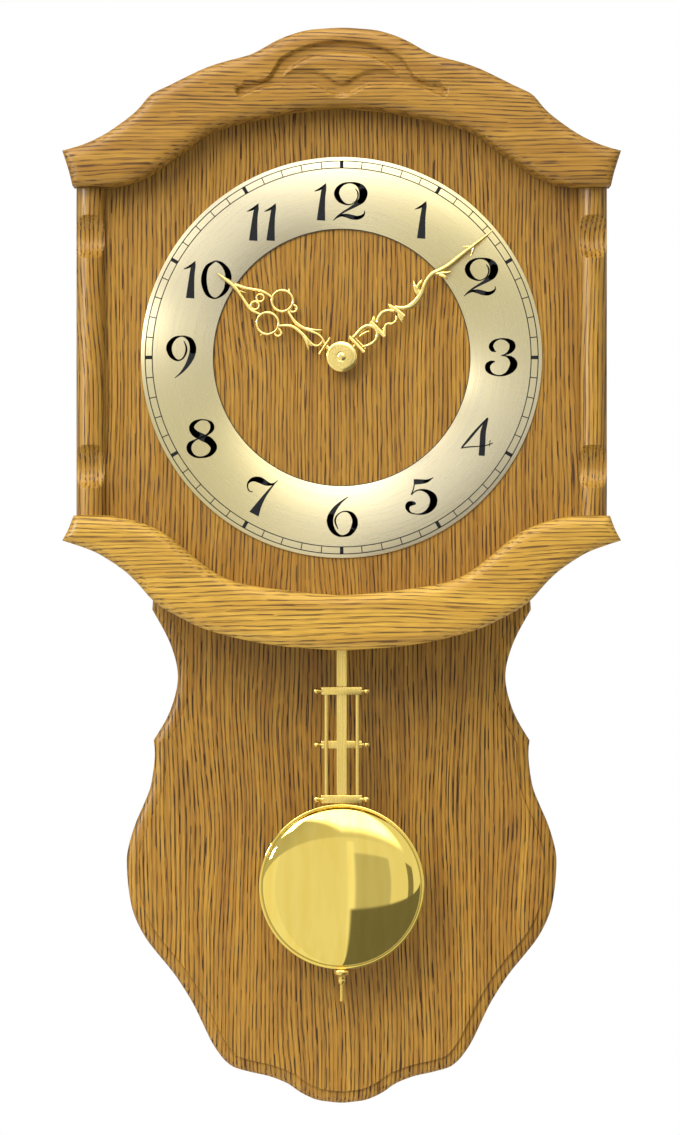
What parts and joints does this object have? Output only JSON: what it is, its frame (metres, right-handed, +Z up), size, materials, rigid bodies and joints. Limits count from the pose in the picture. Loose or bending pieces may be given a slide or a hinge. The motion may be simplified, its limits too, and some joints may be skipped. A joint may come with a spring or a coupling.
{
  "type": "wall clock",
  "caption": "Oak wall clock with a carved crown, round metal dial ring, pierced brass hands and a brass pendulum over a shaped lower board.",
  "frame": {"origin": "the hang point: the upper end of the keyhole slot in the hanger plate, on the plane of the wall; the dial axis is 100 mm below it", "axes": "+Z up; the clock faces -Y and the wall is the plane y = 0; +X is to the right as the dial is read"},
  "size_m": [0.3316, 0.1053, 0.6495],
  "materials": {
    "back_board": "stained oak, satin lacquer",
    "crown": "stained oak, satin lacquer",
    "lower_moulding": "stained oak, satin lacquer",
    "pilaster_left": "stained oak, satin lacquer",
    "pilaster_right": "stained oak, satin lacquer",
    "side_panel_left": "stained oak, satin lacquer",
    "side_panel_right": "stained oak, satin lacquer",
    "dial_panel": "stained oak veneer, vertical grain",
    "case_top": "plywood",
    "case_bottom": "plywood",
    "dial_ring": "champagne gold, circular brushing",
    "hanger_plate": "zinc plated",
    "board_screw_1": "zinc plated",
    "board_screw_2": "zinc plated",
    "board_screw_3": "zinc plated",
    "board_screw_4": "zinc plated",
    "hanger_screw_left": "zinc plated",
    "wall_pad_left": "matt",
    "hanger_screw_right": "zinc plated",
    "wall_pad_right": "matt",
    "movement_housing": "fine textured",
    "movement_cover": "fine textured",
    "train_bridge": "moulded",
    "centre_bush": "turned, threaded",
    "rubber_gasket": "matt",
    "nut_washer": "stamped",
    "bush_nut": "hexagon nut",
    "centre_wheel": "cut brass",
    "hour_wheel": "moulded",
    "motion_wheel": "moulded",
    "setting_knob": "moulded, ribbed",
    "third_wheel": "moulded",
    "second_wheel": "moulded",
    "step_wheel": "moulded",
    "rotor_pinion": "moulded",
    "rotor_magnet": "sintered magnet",
    "drive_magnet": "sintered magnet",
    "stator": "soft iron plate",
    "motor_coil": "enamelled copper winding",
    "drive_coil": "enamelled copper winding",
    "circuit_board": "green solder mask",
    "battery": "plain printed sleeve on steel",
    "contact_positive": "nickel plated spring strip",
    "contact_negative": "nickel plated spring strip",
    "hour_hand": "stamped, gilt",
    "minute_hand": "stamped, gilt",
    "hand_nut": "turned, polished",
    "swing_pin": "polished pin",
    "swing_leaf": "stamped",
    "pendulum_strip": "satin lacquered",
    "crossbar_1": "satin lacquered",
    "crossbar_2": "satin lacquered",
    "crossbar_3": "satin lacquered",
    "side_rod_left": "satin lacquered",
    "side_rod_right": "satin lacquered",
    "threaded_rod": "satin lacquered",
    "bob_front": "polished dome",
    "bob_back": "spun dish",
    "rating_nut": "turned, knurled flange"
  },
  "bodies": {
    "case": {"back_board": "back_board", "crown": "crown", "lower_moulding": "lower_moulding", "pilaster_left": "pilaster_left", "pilaster_right": "pilaster_right", "side_panel_left": "side_panel_left", "side_panel_right": "side_panel_right", "dial_panel": "dial_panel", "case_top": "case_top", "case_bottom": "case_bottom", "dial_ring": "dial_ring", "hanger_plate": "hanger_plate", "board_screw_1": "board_screw_1", "board_screw_2": "board_screw_2", "board_screw_3": "board_screw_3", "board_screw_4": "board_screw_4", "hanger_screw_left": "hanger_screw_left", "wall_pad_left": "wall_pad_left", "hanger_screw_right": "hanger_screw_right", "wall_pad_right": "wall_pad_right", "movement_housing": "movement_housing", "movement_cover": "movement_cover", "train_bridge": "train_bridge", "centre_bush": "centre_bush", "rubber_gasket": "rubber_gasket", "nut_washer": "nut_washer", "bush_nut": "bush_nut", "stator": "stator", "motor_coil": "motor_coil", "drive_coil": "drive_coil", "circuit_board": "circuit_board", "contact_positive": "contact_positive", "contact_negative": "contact_negative", "swing_pin": "swing_pin"},
    "hands_minute": {"centre_wheel": "centre_wheel", "minute_hand": "minute_hand", "hand_nut": "hand_nut"},
    "hands_hour": {"hour_wheel": "hour_wheel", "hour_hand": "hour_hand"},
    "motion_gear": {"motion_wheel": "motion_wheel", "setting_knob": "setting_knob"},
    "third_gear": {"third_wheel": "third_wheel"},
    "second_gear": {"second_wheel": "second_wheel"},
    "step_gear": {"step_wheel": "step_wheel"},
    "rotor": {"rotor_pinion": "rotor_pinion", "rotor_magnet": "rotor_magnet"},
    "pendulum": {"swing_leaf": "swing_leaf", "drive_magnet": "drive_magnet", "pendulum_strip": "pendulum_strip", "crossbar_1": "crossbar_1", "crossbar_2": "crossbar_2", "crossbar_3": "crossbar_3", "side_rod_left": "side_rod_left", "side_rod_right": "side_rod_right", "threaded_rod": "threaded_rod"},
    "bob": {"bob_front": "bob_front", "bob_back": "bob_back"},
    "nut": {"rating_nut": "rating_nut"},
    "battery_cell": {"battery": "battery"}
  },
  "joints": [
    {"name": "minute_turn", "type": "hinge", "parent": "case", "child": "hands_minute", "pos_m": [0, -0.087, -0.1], "axis": [0, 1, 0], "continuous": true},
    {"name": "hour_turn", "type": "hinge", "parent": "case", "child": "hands_hour", "pos_m": [0, -0.087, -0.1], "axis": [0, 1, 0], "continuous": true},
    {"name": "motion_turn", "type": "hinge", "parent": "case", "child": "motion_gear", "pos_m": [-0.012, -0.065, -0.1], "axis": [0, 1, 0], "continuous": true},
    {"name": "third_turn", "type": "hinge", "parent": "case", "child": "third_gear", "pos_m": [-0.00384, -0.065, -0.08946], "axis": [0, 1, 0], "continuous": true},
    {"name": "second_turn", "type": "hinge", "parent": "case", "child": "second_gear", "pos_m": [-0.0127, -0.065, -0.08789], "axis": [0, 1, 0], "continuous": true},
    {"name": "step_turn", "type": "hinge", "parent": "case", "child": "step_gear", "pos_m": [-0.00781, -0.065, -0.08064], "axis": [0, 1, 0], "continuous": true},
    {"name": "rotor_turn", "type": "hinge", "parent": "case", "child": "rotor", "pos_m": [-0.00031, -0.065, -0.08064], "axis": [0, 1, 0], "continuous": true},
    {"name": "pendulum_swing", "type": "hinge", "parent": "case", "child": "pendulum", "pos_m": [0, -0.057, -0.118], "axis": [0, 1, 0], "range_deg": [-6, 6]},
    {"name": "bob_slide", "type": "slide", "parent": "pendulum", "child": "bob", "axis": [0, 0, 1], "range_m": [-0.003, 0]},
    {"name": "nut_turn", "type": "hinge", "parent": "bob", "child": "nut", "pos_m": [0, -0.05515, -0.47], "axis": [0, 0, 1], "range_deg": [-2160, 0]},
    {"name": "battery_slide", "type": "slide", "parent": "case", "child": "battery_cell", "axis": [0, 1, 0], "range_m": [0, 0.03]}
  ],
  "couplings": [
    {"joint": "hour_turn", "follows": "minute_turn", "ratio": 0.083333},
    {"joint": "motion_turn", "follows": "minute_turn", "ratio": -0.33333},
    {"joint": "third_turn", "follows": "minute_turn", "ratio": -7.5},
    {"joint": "second_turn", "follows": "minute_turn", "ratio": 60},
    {"joint": "step_turn", "follows": "minute_turn", "ratio": -360},
    {"joint": "rotor_turn", "follows": "minute_turn", "ratio": 1800},
    {"joint": "nut_turn", "follows": "bob_slide", "rad_per_m": 12566}
  ]
}
